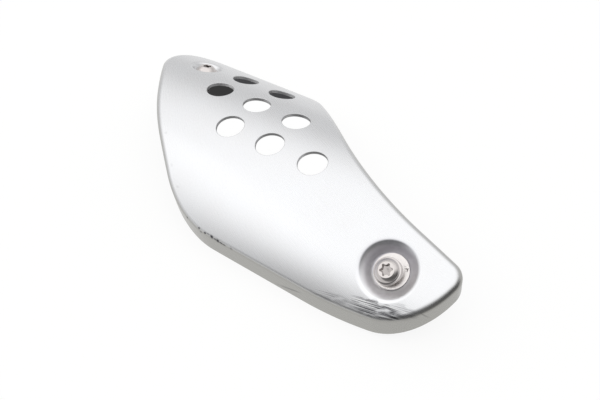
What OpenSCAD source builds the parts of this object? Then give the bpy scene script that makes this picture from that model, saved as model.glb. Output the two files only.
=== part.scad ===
// Heat shield for a round silencer or pipe. One pressed sheet follows the round body,
// its rim is turned straight down and it is held by one screw in a dish at each end. The
// screw of the narrow end stands on a loose stepped collar.

/* [Sheet] */
// Length from the wide end to the narrow end
sheet_l = 238.8; // [232:0.2:246]
// Outer radius of the round skin
skin_r = 81.5; // [80:0.5:86]
// Thickness of the sheet
sheet_t = 2; // [1.2:0.1:2.4]
// Outer radius of the bend from skin to rim
bend_r = 4; // [3:0.25:5]
// Depth of the rim wall below the skin
rim_h = 12; // [10:0.5:16]
// Half the width across the two long edges
half_w = 58.2; // [57:0.2:60]

/* [Wide end outline] */
// Corner of the long back edge and the left side, from the wide end
back_left_x = -26.6; // [-28.6:0.2:-24.6]
// Rounding of that corner
back_left_r = 23; // [18:0.5:26]
// Bow of the left side, from the wide end
left_bow_x = 36; // [34.4:0.2:37.4]
// Bow of the left side, along the width
left_bow_y = -15.8; // [-17:0.2:-14]
// Radius of that bow
left_bow_r = 200; // [150:10:240]
// Corner where the left side meets the front edge, from the wide end
front_left_x = 87.1; // [84.4:0.1:89.4]
// Rounding of that corner
front_left_r = 66; // [50:1:72]
// Corner where the back edge meets the waist side, from the wide end
back_right_x = 98.4; // [96.4:0.2:100.4]
// Rounding of that corner
back_right_r = 25.4; // [20:0.2:30]

/* [Narrow end outline] */
// Slight bow of the front edge, from the narrow end
front_bow_x = 49.6; // [48.4:0.2:51.4]
// Radius of that bow
front_bow_r = 289; // [240:1:300]
// Front corner of the narrow end, from the narrow end
end_front_x = 7.8; // [6.4:0.1:9.4]
// Front corner of the narrow end, along the width
end_front_y = -52.9; // [-54:0.1:-51.5]
// Rounding of that corner
end_front_r = 36.3; // [33:0.1:37]
// Back corner of the narrow end, from the narrow end
end_back_x = -2.3; // [-3.6:0.1:-0.6]
// Back corner of the narrow end, along the width
end_back_y = -21.7; // [-23:0.1:-20]
// Rounding of that corner
end_back_r = 8.7; // [7:0.1:10]
// Inward bend of the waist side, from the narrow end
waist_x = 65.4; // [63.4:0.2:67.4]
// Inward bend of the waist side, along the width
waist_y = -0.6; // [-2:0.2:1]
// Radius of that inward bend
waist_r = 215; // [190:5:225]

/* [Vents] */
// Diameter of each vent
vent_d = 16; // [12:0.5:18]
// First vent of the back row, from the wide end
vent_x = 57.6; // [55.4:0.2:59.4]
// Back row of vents, from the long back edge
vent_in = 17.8; // [17:0.1:18.6]
// Spacing of the vents along the length
vent_pitch = 28.3; // [27.5:0.1:28.8]
// Spacing of the rows round the skin, in degrees
vent_row_a = 16.5; // [16:0.1:16.8]

/* [Wide end seat] */
// Middle of the seat, from the wide end
wide_seat_x = 28.4; // [27.4:0.2:30.4]
// Middle of the seat, from the long back edge
wide_seat_in = 21.2; // [20:0.1:23]
// Depth of the flat floor below the skin
wide_dish_h = 3; // [2.6:0.1:3.4]
// Slope of the dish wall, in degrees
wide_dish_a = 58; // [52:1:62]
// Hollow radius where the wall meets the floor
wide_hollow_r = 1; // [0.6:0.1:1.2]
// Outer radius where the wall meets the skin
wide_lip_r = 2.5; // [2.4:0.1:3]

/* [Narrow end seat] */
// Middle of the seat, from the narrow end
narrow_seat_x = 32; // [31.2:0.2:33]
// Middle of the seat, from the front edge
narrow_seat_in = 22.1; // [21.4:0.1:22.8]
// Depth of the flat floor below the skin
narrow_dish_h = 6; // [5.6:0.1:6.6]
// Slope of the dish wall, in degrees
narrow_dish_a = 54; // [50:1:58]
// Hollow radius where the wall meets the floor
narrow_hollow_r = 1.5; // [1:0.1:1.8]
// Outer radius where the wall meets the skin
narrow_lip_r = 4.5; // [4:0.1:4.6]

/* [Collar] */
// Diameter of the collar disc
disc_d = 17.5; // [16:0.5:18]
// Thickness of the collar disc
disc_t = 1.2; // [1:0.1:1.6]
// Diameter of the raised step under the screw
step_d = 11; // [10:0.5:12]
// Height of the raised step
step_t = 2.6; // [2:0.1:2.8]
// How far the loose collar has slid along the sheet
collar_shift_x = 0.4; // [-0.4:0.1:0.4]
// How far the loose collar has slid across the sheet
collar_shift_y = 0.3; // [-0.4:0.1:0.4]

/* [Screws] */
// Thread diameter
thread_d = 6; // [5:0.5:6]
// Length below the head
thread_h = 16; // [14:1:18]
// Diameter of the plain neck between head and thread
neck_d = 4.8; // [4.2:0.1:4.8]
// How far the narrow-end screw stands off the middle, along the sheet
screw_shift_x = -0.1; // [-0.5:0.1:0.5]
// How far the narrow-end screw stands off the middle, across the sheet
screw_shift_y = -0.7; // [-0.7:0.1:0.5]
// Diameter of the flange on the head
flange_d = 13.4; // [12.4:0.2:14]
// Thickness of the flange
flange_t = 1.1; // [0.8:0.1:1.4]
// Diameter of the flat crown round the socket
crown_d = 7.6; // [7.4:0.1:8.4]
// Height of the dome above the flange
dome_h = 2.3; // [2:0.1:2.6]
// Largest diameter of the six-lobed socket
socket_d = 6; // [5:0.1:6.2]
// Depth of the socket
socket_h = 2.8; // [2:0.1:2.9]

/* [Hidden] */

seat_gap = 0.02;        // play between parts that lie on each other
bore_play = 2.4;        // screw in collar, on the diameter
hole_play = 1.6;        // screw in sheet, on the diameter
floor_play = 1.1;       // collar disc to the edge of the flat floor
flange_play = 0.4;      // screw flange to the edge of the flat floor
collar_break = 0.25;    // broken edge of the collar disc
neck_over = 0.6;        // how far the neck runs past the sheet
thread_break = 0.6;     // chamfer on the screw end
flange_break = 0.35;    // bevel on the flange edge
socket_lobes = 6;       // lobes of the socket
lobe_depth = 0.42;      // wave of the socket wall about its mean radius
dome_swell = 0.12;      // bulge of the dome as a share of its flank
cut_over = 3;           // how far a cutting tool runs past the sheet

rim_facets = 64;        // facets round vents, collars and screw heads
bore_facets = 48;       // facets round bores
socket_steps = 48;      // points round the socket
dome_steps = 6;         // facets up the dome

bend_steps = 4;         // facets in the rim bend
fillet_steps = 3;       // facets in the hollow of a dish
lip_steps = 4;          // facets in the lip of a dish
skin_steps = 6;         // facets from a dish out to the rim
seam_steps = 11;        // facets across the middle of the skin
side_step = 8.5;        // longest outline segment
turn_step = 14;         // largest outline turn for one segment, in degrees
slope_probe = 0.02;     // half width used to measure the skin slope

// the axis of the skin lies below the table so that both long edges stand on it
axis_z = rim_h - sqrt(skin_r * skin_r - half_w * half_w);

// a dish: depth, slope, hollow and lip radii, then the radii where its floor, hollow,
// wall and lip end
function dish_form(depth, slope, hollow_r, lip_r, floor_end) =
    let (
        hollow_end = floor_end + hollow_r * sin(slope),
        wall_drop = depth - (hollow_r + lip_r) * (1 - cos(slope)),
        wall_end = hollow_end + wall_drop / tan(slope)
    )
    [depth, slope, hollow_r, lip_r, floor_end, hollow_end, wall_end, wall_end + lip_r * sin(slope)];

wide_dish = dish_form(wide_dish_h, wide_dish_a, wide_hollow_r, wide_lip_r, flange_d / 2 + flange_play);
narrow_dish = dish_form(
    narrow_dish_h, narrow_dish_a, narrow_hollow_r, narrow_lip_r, disc_d / 2 + floor_play);

// along the length from either end, and round the skin from either long edge
function from_wide(x) = x - sheet_l / 2;
function from_narrow(x) = sheet_l / 2 - x;
function angle_in(inset) = asin((half_w - inset) / skin_r);

vent_a = angle_in(vent_in);
seats = [
    [from_wide(wide_seat_x), angle_in(wide_seat_in), wide_dish],
    [from_narrow(narrow_seat_x), -angle_in(narrow_seat_in), narrow_dish]
];

// x, y and rounding of each corner, in order round the sheet seen from above
corners = [
    [from_wide(back_left_x), half_w, back_left_r],
    [from_wide(left_bow_x), left_bow_y, left_bow_r],
    [from_wide(front_left_x), -half_w, front_left_r],
    [from_narrow(front_bow_x), -half_w, front_bow_r],
    [from_narrow(end_front_x), end_front_y, end_front_r],
    [from_narrow(end_back_x), end_back_y, end_back_r],
    [from_narrow(waist_x), waist_y, waist_r],
    [from_wide(back_right_x), half_w, back_right_r]
];

function flat(p) = [p[0], p[1]];
function unit(v) = v / norm(v);
function left_of(v) = [-v[1], v[0]];
function turned(v, a) = [v[0] * cos(a) - v[1] * sin(a), v[0] * sin(a) + v[1] * cos(a)];
function mix(a, b, k) = a + (b - a) * k;

// one rounded corner as a list of [x, y, outward x, outward y]
function corner_arc(i) =
    let (
        count = len(corners),
        here = flat(corners[i]),
        r = corners[i][2],
        way_in = unit(here - flat(corners[(i + count - 1) % count])),
        way_out = unit(flat(corners[(i + 1) % count]) - here),
        turn = atan2(cross(way_in, way_out), way_in * way_out),
        side = sign(turn),
        start = here - way_in * r * tan(abs(turn) / 2),
        middle = start + left_of(way_in) * side * r,
        steps = max(ceil(abs(turn) / turn_step), ceil(abs(turn) / 180 * PI * r / side_step))
    )
    [for (k = [0:steps]) let (arm = turned(start - middle, turn * k / steps))
        concat(middle + arm, arm * side / r)];

arcs = [for (i = [0:len(corners) - 1]) corner_arc(i)];

// inner points of the straight stretch after corner i
function stretch(i) =
    let (
        last = arcs[i][len(arcs[i]) - 1],
        next = arcs[(i + 1) % len(arcs)][0],
        steps = ceil(norm(flat(next) - flat(last)) / side_step)
    )
    steps < 2 ? [] : [for (k = [1:steps - 1]) mix(last, next, k / steps)];

// the outline starts where the seam between the two fans meets the front edge
narrow_side = concat(
    [arcs[2][len(arcs[2]) - 1]], stretch(2), arcs[3], stretch(3), arcs[4], stretch(4),
    arcs[5], stretch(5), arcs[6]
);
wide_side = concat(
    stretch(6), arcs[7], stretch(7), arcs[0], stretch(0), arcs[1], stretch(1),
    [for (k = [0:len(arcs[2]) - 2]) arcs[2][k]]
);
outline = concat(narrow_side, wide_side);
rim_count = len(outline);
seam_stop = len(narrow_side) - 1;

// a place on the round skin, given along the length and as an angle from the top
function on_skin(x, a, depth) =
    [x, (skin_r - depth) * sin(a), (skin_r - depth) * cos(a) + axis_z];

// where the bend leaves the skin, as [x, angle]
function bend_start(m) =
    let (p = outline[m])
    [p[0] - bend_r * p[2], asin((p[1] - bend_r * p[3]) / (skin_r - bend_r))];

// rim points from the skin, round the bend and down the wall
function rim_point(m, p, depth) =
    let (
        o = outline[m],
        out = [o[2], o[3], 0],
        start = bend_start(m),
        up = [0, sin(start[1]), cos(start[1])],
        span = acos(up * out),
        k = min(p / bend_steps, 1),
        way = (up * sin((1 - k) * span) + out * sin(k * span)) / sin(span),
        round_point = on_skin(start[0], start[1], bend_r) + way * (bend_r - depth)
    )
    p <= bend_steps ? round_point
    : [o[0] - depth * o[2], o[1] - depth * o[3],
        axis_z + sqrt(skin_r * skin_r - o[1] * o[1]) - rim_h];

seam_ends = [bend_start(0), bend_start(seam_stop)];
function seam_place(q) = mix(seam_ends[0], seam_ends[1], q / seam_steps);

// height of a dish below a flat sheet at a distance from its axis
function dish_fall(dish, rho) =
    let (depth = dish[0], slope = dish[1], hollow_r = dish[2], lip_r = dish[3])
    rho <= dish[4] ? -depth
    : rho <= dish[5] ? hollow_r - depth - sqrt(hollow_r * hollow_r - pow(rho - dish[4], 2))
    : rho <= dish[6] ? hollow_r * (1 - cos(slope)) - depth + (rho - dish[5]) * tan(slope)
    : rho <= dish[7] ? sqrt(lip_r * lip_r - pow(dish[7] - rho, 2)) - lip_r
    : 0;

// outer skin of a dish, which fades from the round skin to the flat floor
function dish_skin(seat, rho, a) =
    let (
        fall = dish_fall(seat[2], rho),
        across = rho * sin(a),
        sag = sqrt(skin_r * skin_r - across * across) - skin_r,
        lift = fall + sag * (1 + fall / seat[2][0])
    )
    on_skin(seat[0] + rho * cos(a), seat[1], 0)
    + [0, cos(seat[1]), -sin(seat[1])] * across
    + [0, sin(seat[1]), cos(seat[1])] * lift;

function dish_point(seat, rho, a, depth) =
    let (
        along = dish_skin(seat, rho + slope_probe, a) - dish_skin(seat, rho - slope_probe, a),
        round = dish_skin(seat, rho, a + slope_probe) - dish_skin(seat, rho, a - slope_probe)
    )
    dish_skin(seat, rho, a) - unit(cross(along, round)) * depth;

function dish_rings(dish) = concat(
    [for (k = [0:fillet_steps]) dish[4] + dish[2] * sin(dish[1] * k / fillet_steps)],
    [for (k = [0:lip_steps - 1]) dish[7] - dish[3] * sin(dish[1] * (1 - k / lip_steps))]
);

// the edge of each fan as point numbers: rim points and seam points
ring_length = bend_steps + 2;
seam_base = rim_count * ring_length;
fan_base = seam_base + seam_steps - 1;
fans = [
    concat([for (m = [seam_stop:rim_count - 1]) m * ring_length], [0],
        [for (q = [1:seam_steps - 1]) seam_base + q - 1]),
    concat([for (m = [0:seam_stop]) m * ring_length],
        [for (q = [seam_steps - 1:-1:1]) seam_base + q - 1])
];
ray_length = fillet_steps + 1 + lip_steps + skin_steps;
fan_starts = [fan_base, fan_base + len(fans[0]) * ray_length + 1];

function edge_place(n) =
    n < seam_base ? bend_start(n / ring_length) : seam_place(n - seam_base + 1);

function ray_points(seat, edge, depth) =
    let (
        a = atan2((edge[1] - seat[1]) * skin_r * PI / 180, edge[0] - seat[0]),
        lip_end = seat[2][7],
        lip = [seat[0] + lip_end * cos(a), seat[1] + asin(lip_end * sin(a) / skin_r)]
    )
    concat(
        [for (rho = dish_rings(seat[2])) dish_point(seat, rho, a, depth)],
        [for (k = [0:skin_steps - 1]) let (p = mix(lip, edge, k / skin_steps))
            on_skin(p[0], p[1], depth)]
    );

function skin_points(depth) = concat(
    [for (m = [0:rim_count - 1]) for (p = [0:ring_length - 1]) rim_point(m, p, depth)],
    [for (q = [1:seam_steps - 1]) let (p = seam_place(q)) on_skin(p[0], p[1], depth)],
    [for (f = [0:1]) each concat(
        [for (n = fans[f]) each ray_points(seats[f], edge_place(n), depth)],
        [on_skin(seats[f][0], seats[f][1], seats[f][2][0] + depth)]
    )]
);

function split(a, b, c, d) = [[a, b, c], [a, c, d]];

function fan_faces(f) =
    let (
        base = fan_starts[f],
        rays = len(fans[f]),
        hub = base + rays * ray_length
    )
    [for (k = [0:rays - 1])
        let (here = base + k * ray_length, next = base + (k + 1) % rays * ray_length)
        each concat(
            [[hub, next, here]],
            [for (j = [0:ray_length - 2]) each split(here + j, next + j, next + j + 1, here + j + 1)],
            split(here + ray_length - 1, next + ray_length - 1,
                fans[f][(k + 1) % rays], fans[f][k])
        )];

rim_faces = [for (m = [0:rim_count - 1])
    let (here = m * ring_length, next = (m + 1) % rim_count * ring_length)
    for (p = [0:ring_length - 2]) each split(here + p, next + p, next + p + 1, here + p + 1)];

skin_faces = concat(rim_faces, fan_faces(0), fan_faces(1));
skin_total = fan_starts[1] + len(fans[1]) * ray_length + 1;

edge_faces = [for (m = [0:rim_count - 1])
    let (
        here = (m + 1) * ring_length - 1,
        next = ((m + 1) % rim_count + 1) * ring_length - 1
    )
    each split(here, next, next + skin_total, here + skin_total)];

// moves a drawing to a place on the skin, with up pointing straight out of it
module on_skin_frame(place) {
    translate(on_skin(place[0], place[1], 0)) rotate([-place[1], 0, 0]) children();
}

module pressed_sheet() {
    polyhedron(
        points = concat(skin_points(0), skin_points(sheet_t)),
        faces = concat(
            skin_faces,
            [for (t = skin_faces) [t[2], t[1], t[0]] + [1, 1, 1] * skin_total],
            edge_faces
        ),
        convexity = 10
    );
}

module vents() {
    // three rows of three on a slant; the first place belongs to the wide-end seat
    for (row = [0:2]) for (step = [0:2]) if (row + step > 0)
        on_skin_frame([from_wide(vent_x) + (row + step - 1) * vent_pitch, vent_a - row * vent_row_a])
            translate([0, 0, -sheet_t - cut_over])
                cylinder(h = sheet_t + 2 * cut_over, d = vent_d, $fn = rim_facets);
}

module screw_holes() {
    for (seat = seats)
        on_skin_frame(seat) translate([0, 0, -seat[2][0] - sheet_t - cut_over])
            cylinder(h = sheet_t + 2 * cut_over, d = thread_d + hole_play, $fn = bore_facets);
}

module shield() {
    color("gainsboro") difference() {
        pressed_sheet();
        vents();
        screw_holes();
    }
}

module collar(seat) {
    disc_z = seat_gap - seat[2][0];
    shift = [collar_shift_x, collar_shift_y, disc_z];
    color("lightgray") on_skin_frame(seat) translate(shift) difference() {
        union() {
            cylinder(h = disc_t - collar_break, d = disc_d, $fn = rim_facets);
            translate([0, 0, disc_t - collar_break])
                cylinder(h = collar_break, d1 = disc_d, d2 = disc_d - 2 * collar_break, $fn = rim_facets);
            cylinder(h = disc_t + step_t, d = step_d, $fn = rim_facets);
        }
        translate([0, 0, -cut_over])
            cylinder(h = disc_t + step_t + 2 * cut_over, d = thread_d + bore_play, $fn = bore_facets);
    }
}

// half outline of a screw, from its end up the thread and neck, round the flange and
// up the dome
function screw_outline(neck_h) =
    let (
        foot = [flange_d / 2 - flange_break, flange_t],
        rise = [crown_d / 2, flange_t + dome_h],
        swell = dome_swell * norm(rise - foot),
        side = unit([rise[1] - foot[1], foot[0] - rise[0]])
    )
    concat(
        [[0, -thread_h], [thread_d / 2 - thread_break, -thread_h],
            [thread_d / 2, thread_break - thread_h], [thread_d / 2, -neck_h], [neck_d / 2, -neck_h],
            [neck_d / 2, 0], [flange_d / 2 - flange_break, 0], [flange_d / 2, flange_break],
            [flange_d / 2, flange_t - flange_break]],
        [for (k = [0:dome_steps])
            mix(foot, rise, k / dome_steps) + side * swell * sin(180 * k / dome_steps)],
        [[0, flange_t + dome_h]]
    );

module socket_outline() {
    polygon([for (k = [0:socket_steps - 1]) let (a = 360 * k / socket_steps)
        (socket_d / 2 - lobe_depth * (1 - cos(socket_lobes * a))) * [cos(a), sin(a)]]);
}

// stack is what lies between the sheet and the head
module screw(seat, stack, shift) {
    head_z = seat_gap + stack - seat[2][0];
    neck_h = stack + sheet_t + neck_over;
    color("silver") on_skin_frame(seat) translate(concat(shift, head_z)) difference() {
        rotate_extrude($fn = rim_facets) polygon(screw_outline(neck_h));
        translate([0, 0, flange_t + dome_h - socket_h])
            linear_extrude(height = socket_h + cut_over) socket_outline();
    }
}

shield();
collar(seats[1]);  // narrow_end_collar
screw(seats[0], 0, [0, 0]);  // wide_end_screw
screw(seats[1], seat_gap + disc_t + step_t, [screw_shift_x, screw_shift_y]);  // narrow_end_screw
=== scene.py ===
import math
import bpy
import bmesh
import numpy as np
from mathutils import Matrix, Vector
from mathutils.geometry import delaunay_2d_cdt


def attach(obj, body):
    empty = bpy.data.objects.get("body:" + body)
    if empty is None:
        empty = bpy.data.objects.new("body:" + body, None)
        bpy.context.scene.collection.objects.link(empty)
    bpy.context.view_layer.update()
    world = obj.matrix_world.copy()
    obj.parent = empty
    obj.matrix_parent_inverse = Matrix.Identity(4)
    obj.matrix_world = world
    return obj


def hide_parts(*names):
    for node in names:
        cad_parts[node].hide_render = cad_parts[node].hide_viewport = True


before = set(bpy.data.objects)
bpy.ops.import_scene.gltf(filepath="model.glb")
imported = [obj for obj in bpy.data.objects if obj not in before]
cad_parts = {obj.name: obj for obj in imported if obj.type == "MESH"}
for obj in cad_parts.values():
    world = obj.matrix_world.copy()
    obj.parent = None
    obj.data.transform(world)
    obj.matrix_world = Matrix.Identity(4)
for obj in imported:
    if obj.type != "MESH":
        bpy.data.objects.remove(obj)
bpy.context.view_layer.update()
mm = 0.001  # sizes are written in millimetres, and the scene is in metres


def linear(hexColour):  # sRGB hex to the linear colour that shaders want
    parts = [int(hexColour[i:i + 2], 16) / 255 for i in (1, 3, 5)]
    return tuple(c / 12.92 if c <= 0.04045 else ((c + 0.055) / 1.055) ** 2.4 for c in parts) + (1.0,)


def addNode(tree, kind, settings=None, values=None, links=None):
    # one node with its settings and fixed values, linked from other nodes' first outputs or from sockets
    node = tree.nodes.new("ShaderNode" + kind)
    for key, value in (settings or {}).items():
        setattr(node, key, value)
    for key, value in (values or {}).items():
        node.inputs[key].default_value = value
    for key, source in (links or {}).items():
        socket = source.outputs[0] if isinstance(source, bpy.types.Node) else source
        tree.links.new(socket, node.inputs[key])
    return node


def newMaterial(name):
    material = bpy.data.materials.new(name)
    material.use_nodes = True
    material.node_tree.nodes.clear()
    return material, material.node_tree


def makeObject(name, verts, faces, material, normals=None, flat=None, zones=None):
    mesh = bpy.data.meshes.new(name)
    mesh.from_pydata([tuple(float(c) * mm for c in v) for v in verts], [], faces)
    mesh.polygons.foreach_set("use_smooth", [True] * len(mesh.polygons))
    if flat is not None:  # the place on the unrolled sheet, or round the axis of a turned piece
        layer = mesh.uv_layers.new(name="flatPlace")
        corners = np.zeros(len(mesh.loops), dtype=np.int32)
        mesh.loops.foreach_get("vertex_index", corners)
        layer.data.foreach_set("uv", (np.asarray(flat, float) * mm).astype(np.float32)[corners].ravel())
    if zones is not None:  # three shares that the materials read
        layer = mesh.attributes.new("zone", "FLOAT_VECTOR", "POINT")
        layer.data.foreach_set("vector", np.asarray(zones, dtype=np.float32).ravel())
    mesh.validate()
    mesh.update()
    if normals is not None:
        mesh.normals_split_custom_set_from_vertices([tuple(n) for n in normals])
    mesh.materials.append(material)
    obj = bpy.data.objects.new(name, mesh)
    bpy.context.scene.collection.objects.link(obj)
    return obj


def around(steps):  # angles of one full turn
    return [k * 2 * math.pi / steps for k in range(steps)]


sheet = {
    "skinRadius": 81.5, "thickness": 2.0, "bendRadius": 4.0, "rimDrop": 12.0, "halfWidth": 58.2,
    "corners": [  # x, y and rounding, round the outline seen from above
        (-146, 58.2, 23), (-83.4, -15.8, 200), (-32.3, -58.2, 66), (69.8, -58.2, 289),
        (111.6, -52.9, 36.3), (121.7, -21.7, 8.7), (54, -0.6, 215), (-21, 58.2, 25.4)],
    "inset": 0.04,  # the drawn outline lies this far inside the solid's
    "ventDiameter": 16.0, "ventX": -61.8, "ventPitch": 28.3, "ventAngle": 29.7167, "ventRowAngle": 16.5,
    "ventBreak": 0.35, "edgeBreak": 0.4, "holeRadius": 3.8,
    "dishes": [  # a shallow one at the wide end, then a deep one; place is x and the angle from the top
        {"place": (-91.0, 27.0), "depth": 3.0, "slope": 58.0, "hollow": 1.0, "lip": 2.5,
         "floorRadius": 7.1},
        {"place": (87.4, -26.2914), "depth": 6.0, "slope": 47.0, "hollow": 4.0, "lip": 3.0,
         "floorRadius": 7.2}],
    # how fine the mesh is
    "sideStep": 2.6, "turnStep": 4.0, "gridStep": 3.2, "gridRow": 0.866, "gridClear": 0.45,
    "netTolerance": 1e-7, "circleSteps": 96, "dishSteps": 120, "bendSteps": 12, "wallSteps": 5,
    "breakSteps": 4, "cutSteps": 3, "holeSteps": 4, "lipSteps": 10, "slopeSteps": 4, "hollowSteps": 6,
    "floorRings": (2.0, 0.5, 0.15),  # rings on a dish's floor, outside its hole
    "probe": 0.02,  # reach of the small steps that give a dish its outward direction
}
skinR = sheet["skinRadius"]
axisZ = sheet["rimDrop"] - math.sqrt(skinR ** 2 - sheet["halfWidth"] ** 2)
quarterTurn = np.linspace(0, math.pi / 2, sheet["breakSteps"] + 1)


def onSkin(x, angle, depth=0.0):  # a place on the round skin, angle in radians from the top
    return np.array([x, (skinR - depth) * math.sin(angle), (skinR - depth) * math.cos(angle) + axisZ])


def seatFrame(place):  # a place on the skin, with the ways along it, across it and out of it
    angle = math.radians(place[1])
    across = np.array([0, math.cos(angle), -math.sin(angle)])
    up = np.array([0, math.sin(angle), math.cos(angle)])
    return onSkin(place[0], angle), np.array([1.0, 0, 0]), across, up


def cornerArc(index):  # x, y, outward x and outward y along one rounded corner
    corners = sheet["corners"]
    count = len(corners)
    before, here, after = (np.array(corners[k % count][:2], float) for k in (index - 1, index, index + 1))
    rounding = corners[index][2]
    wayIn = (here - before) / np.linalg.norm(here - before)
    wayOut = (after - here) / np.linalg.norm(after - here)
    turn = math.atan2(wayIn[0] * wayOut[1] - wayIn[1] * wayOut[0], wayIn @ wayOut)
    side = math.copysign(1, turn)
    start = here - wayIn * rounding * math.tan(abs(turn) / 2)
    middle = start + np.array([-wayIn[1], wayIn[0]]) * side * rounding
    arm = start - middle
    turnSteps = math.ceil(math.degrees(abs(turn)) / sheet["turnStep"])
    sideSteps = math.ceil(abs(turn) * rounding / sheet["sideStep"])
    steps = max(turnSteps, sideSteps)
    arc = []
    for k in range(steps + 1):
        cosine = math.cos(turn * k / steps)
        sine = math.sin(turn * k / steps)
        turned = np.array([arm[0] * cosine - arm[1] * sine, arm[0] * sine + arm[1] * cosine])
        arc.append(np.concatenate([middle + turned, turned * side / rounding]))
    return arc


def outlinePoints():  # x, y, outward x and outward y round the whole outline
    arcs = [cornerArc(i) for i in range(len(sheet["corners"]))]
    points = []
    for i, arc in enumerate(arcs):
        points += arc
        last, following = arc[-1], arcs[(i + 1) % len(arcs)][0]
        steps = math.ceil(np.linalg.norm(following[:2] - last[:2]) / sheet["sideStep"])
        points += [last + (following - last) * k / steps for k in range(1, steps)]
    for point in points:
        point[:2] -= point[2:] * sheet["inset"]
    return points


def ventPlaces():  # three slanted rows of three; the first place belongs to the wide end's dish
    return [(sheet["ventX"] + (row + step - 1) * sheet["ventPitch"],
             sheet["ventAngle"] - row * sheet["ventRowAngle"])
            for row in range(3) for step in range(3) if row + step > 0]


def dishLimits(dish):  # radii where the hollow, the wall and the lip end
    slope = math.radians(dish["slope"])
    hollowEnd = dish["floorRadius"] + dish["hollow"] * math.sin(slope)
    drop = dish["depth"] - (dish["hollow"] + dish["lip"]) * (1 - math.cos(slope))
    wallEnd = hollowEnd + drop / math.tan(slope)
    return hollowEnd, wallEnd, wallEnd + dish["lip"] * math.sin(slope)


def dishFall(dish, radius):  # height against a flat sheet, negative inside the dish
    hollowEnd, wallEnd, lipEnd = dishLimits(dish)
    hollow, slope = dish["hollow"], math.radians(dish["slope"])
    if radius <= dish["floorRadius"]:
        return -dish["depth"]
    if radius <= hollowEnd:
        return hollow - dish["depth"] - math.sqrt(max(hollow ** 2 - (radius - dish["floorRadius"]) ** 2, 0))
    if radius <= wallEnd:
        return hollow * (1 - math.cos(slope)) - dish["depth"] + (radius - hollowEnd) * math.tan(slope)
    if radius <= lipEnd:
        return math.sqrt(dish["lip"] ** 2 - (lipEnd - radius) ** 2) - dish["lip"]
    return 0.0


def dishPlace(dish, radius, angle):  # the skin's own roundness fades out towards the flat floor
    base, along, across, up = seatFrame(dish["place"])
    fall = dishFall(dish, radius)
    side = radius * math.sin(angle)
    sag = math.sqrt(skinR ** 2 - side ** 2) - skinR
    height = fall + sag * (1 + fall / dish["depth"])
    return base + along * radius * math.cos(angle) + across * side + up * height


def dishPoint(dish, radius, angle, depth):  # a place under the outer side of a dish, and the way out of it
    small = sheet["probe"]
    outwards = dishPlace(dish, radius + small, angle) - dishPlace(dish, radius - small, angle)
    sideways = dishPlace(dish, radius, angle + small) - dishPlace(dish, radius, angle - small)
    normal = np.cross(outwards, sideways)
    normal /= np.linalg.norm(normal)
    return dishPlace(dish, radius, angle) - normal * depth, normal


class SheetNet:  # gathers points with their outward normals, unrolled places, zones and faces
    def __init__(self):
        self.points, self.normals, self.flat, self.zones, self.faces = [], [], [], [], []

    def add(self, place, normal, flat, zone):  # zone: share of rim, of inner side, of cut wall
        self.points.append(place)
        self.normals.append(normal)
        self.flat.append(flat)
        self.zones.append(zone)
        return len(self.points) - 1

    def band(self, first, second, flip=False):  # faces between two rings
        count = len(first)
        for k in range(count):
            after = (k + 1) % count
            quad = (first[k], first[after], second[after], second[k])
            self.faces.append(quad[::-1] if flip else quad)


def insideLoop(points, loop):
    x, y = points[:, 0][:, None], points[:, 1][:, None]
    x0, y0 = loop[:, 0][None], loop[:, 1][None]
    x1, y1 = np.roll(loop[:, 0], -1)[None], np.roll(loop[:, 1], -1)[None]
    # the tiny number keeps a level side from dividing by nothing
    crosses = ((y0 > y) != (y1 > y)) & (x < (x1 - x0) * (y - y0) / (y1 - y0 + 1e-12) + x0)
    return crosses.sum(1) % 2 == 1


def onMetal(points, loops):  # inside the first loop and outside the holes
    keep = insideLoop(points, loops[0])
    for loop in loops[1:]:
        keep &= ~insideLoop(points, loop)
    return keep


def circleLoop(place, radius, steps):  # a true circle seen along its own axis, unrolled from the skin
    turn = math.radians(place[1])
    points = []
    for angle in around(steps):
        away = math.asin(radius * math.sin(angle) / skinR)
        points.append((place[0] + radius * math.cos(angle), skinR * (turn + away)))
    return np.array(points)


def unroll(place):
    return (place[0], skinR * math.atan2(place[1], place[2] - axisZ))


def skinNet(loops):  # even triangles between the loops, on the unrolled skin
    low, high = loops[0].min(0), loops[0].max(0)
    step = sheet["gridStep"]
    grid = []
    for row, s in enumerate(np.arange(low[1], high[1], step * sheet["gridRow"])):
        for x in np.arange(low[0] + (row % 2) * step / 2, high[0], step):
            grid.append((x, s))
    grid = np.array(grid)
    grid = grid[onMetal(grid, loops)]
    border = np.concatenate(loops)
    near = np.array([np.min(np.sum((border - g) ** 2, 1)) for g in grid])
    grid = grid[near > (sheet["gridClear"] * step) ** 2]
    coords, edges = [], []
    for loop in loops:
        first = len(coords)
        coords += [tuple(p) for p in loop]
        edges += [(first + k, first + (k + 1) % len(loop)) for k in range(len(loop))]
    coords += [tuple(p) for p in grid]
    net = delaunay_2d_cdt([Vector(c) for c in coords], edges, [], 0, sheet["netTolerance"])
    netCoords, netFaces, origins = net[0], net[2], net[3]
    assert len(netCoords) == len(coords)  # no point was merged or added
    triangles = np.array([tuple(f) for f in netFaces])
    middles = np.array([tuple(c) for c in netCoords])[triangles].mean(1)
    kept = triangles[onMetal(middles, loops)]
    return coords, [tuple(origins[k][0] for k in triangle) for triangle in kept]


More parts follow.
